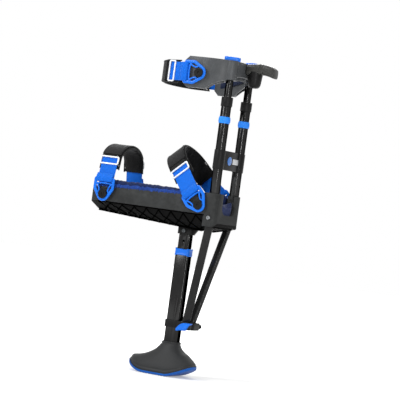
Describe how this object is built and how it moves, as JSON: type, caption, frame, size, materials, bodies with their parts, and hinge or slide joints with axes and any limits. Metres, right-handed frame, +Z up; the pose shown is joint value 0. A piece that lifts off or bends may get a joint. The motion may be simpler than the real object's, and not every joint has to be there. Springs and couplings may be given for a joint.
{
  "type": "hands free crutch",
  "caption": "Hands free crutch: a rocker foot on a telescopic leg carries a padded knee platform, with uprights to a thigh band, a handle and buckled straps.",
  "frame": {"origin": "on the floor under the leg's axis, on the level stretch of the sole", "axes": "+X forward, +Y to the wearer's left, +Z up along the leg"},
  "size_m": [0.4516, 0.2264, 0.84],
  "materials": {
    "leg_black": "black anodised tube",
    "moulded_black": "fine moulded texture",
    "shell_grey": "satin moulded",
    "band_grey": "satin moulded",
    "bright_blue": "satin moulded",
    "sole_blue": "matt rubber",
    "boot_rubber": "matt rubber",
    "steel": "zinc plated",
    "slider_silver": "pale moulded",
    "pad_navy": "knitted cover over foam",
    "webbing_blue": "ribbed webbing",
    "strap_black": "padded knit",
    "badge_blue": "plain",
    "label_white": "plain"
  },
  "bodies": {
    "lower_leg": {"foot_sole": "sole_blue", "foot_boot": "boot_rubber", "foot_bolt": "steel", "leg_tube": "leg_black", "leg_collar": "bright_blue"},
    "platform": {"platform_shell": "shell_grey", "leg_bracket": "moulded_black", "bracket_bolt": "steel", "side_screws": "steel", "knee_pad": "pad_navy", "front_pad": "pad_navy", "inner_tube": "leg_black", "inner_plug": "moulded_black", "near_strut": "leg_black", "far_strut": "leg_black", "strut_bolt": "steel", "strut_clamp": "moulded_black", "clamp_skewer": "steel", "cam_yoke": "steel", "cam_pin": "steel", "near_lower_upright": "leg_black", "far_lower_upright": "leg_black", "upright_bushings": "moulded_black", "cross_panel": "moulded_black", "panel_badge": "badge_blue", "panel_label": "label_white", "calf_posts": "moulded_black", "knee_posts": "moulded_black"},
    "lever": {"cam_lever": "bright_blue"},
    "near_ring": {"near_lock_ring": "bright_blue"},
    "far_ring": {"far_lock_ring": "bright_blue"},
    "thigh_frame": {"thigh_band": "band_grey", "thigh_liner": "pad_navy", "near_upper_tube": "leg_black", "far_upper_tube": "leg_black", "tube_feet": "moulded_black", "upright_caps": "bright_blue", "handle": "moulded_black", "handle_screws": "steel", "thigh_posts": "moulded_black"},
    "calf_strap": {"calf_near_clip": "bright_blue", "calf_far_clip": "bright_blue", "calf_webbing": "webbing_blue", "calf_sliders": "slider_silver", "calf_pad": "strap_black"},
    "knee_strap": {"knee_near_clip": "bright_blue", "knee_far_clip": "bright_blue", "knee_webbing": "webbing_blue", "knee_sliders": "slider_silver", "knee_strap_pad": "strap_black"},
    "thigh_strap": {"thigh_near_clip": "bright_blue", "thigh_far_clip": "bright_blue", "thigh_webbing": "webbing_blue", "thigh_sliders": "slider_silver", "thigh_strap_pad": "strap_black"}
  },
  "joints": [
    {"name": "leg_height", "type": "slide", "parent": "lower_leg", "child": "platform", "axis": [0, 0, 1], "range_m": [-0.025, 0.075]},
    {"name": "thigh_height", "type": "slide", "parent": "platform", "child": "thigh_frame", "axis": [0, 0, 1], "range_m": [-0.03, 0.07]},
    {"name": "lever_swing", "type": "hinge", "parent": "platform", "child": "lever", "pos_m": [0.06, -0.0353, 0.1365], "axis": [0, 0, 1], "range_deg": [0, 130]},
    {"name": "near_ring_turn", "type": "hinge", "parent": "platform", "child": "near_ring", "pos_m": [0.094, -0.06, 0.6765], "axis": [0, 0, 1], "range_deg": [0, 90]},
    {"name": "far_ring_turn", "type": "hinge", "parent": "platform", "child": "far_ring", "pos_m": [0.094, 0.06, 0.6765], "axis": [0, 0, 1], "range_deg": [-90, 0]},
    {"name": "calf_strap_swing", "type": "hinge", "parent": "platform", "child": "calf_strap", "pos_m": [-0.217, 0, 0.448], "axis": [0, 1, 0], "range_deg": [-15, 20]},
    {"name": "knee_strap_swing", "type": "hinge", "parent": "platform", "child": "knee_strap", "pos_m": [0.064, 0, 0.452], "axis": [0, 1, 0], "range_deg": [0, 30]},
    {"name": "thigh_strap_swing", "type": "hinge", "parent": "thigh_frame", "child": "thigh_strap", "pos_m": [0.027, 0, 0.788], "axis": [0, 1, 0], "range_deg": [-12, 12]}
  ]
}
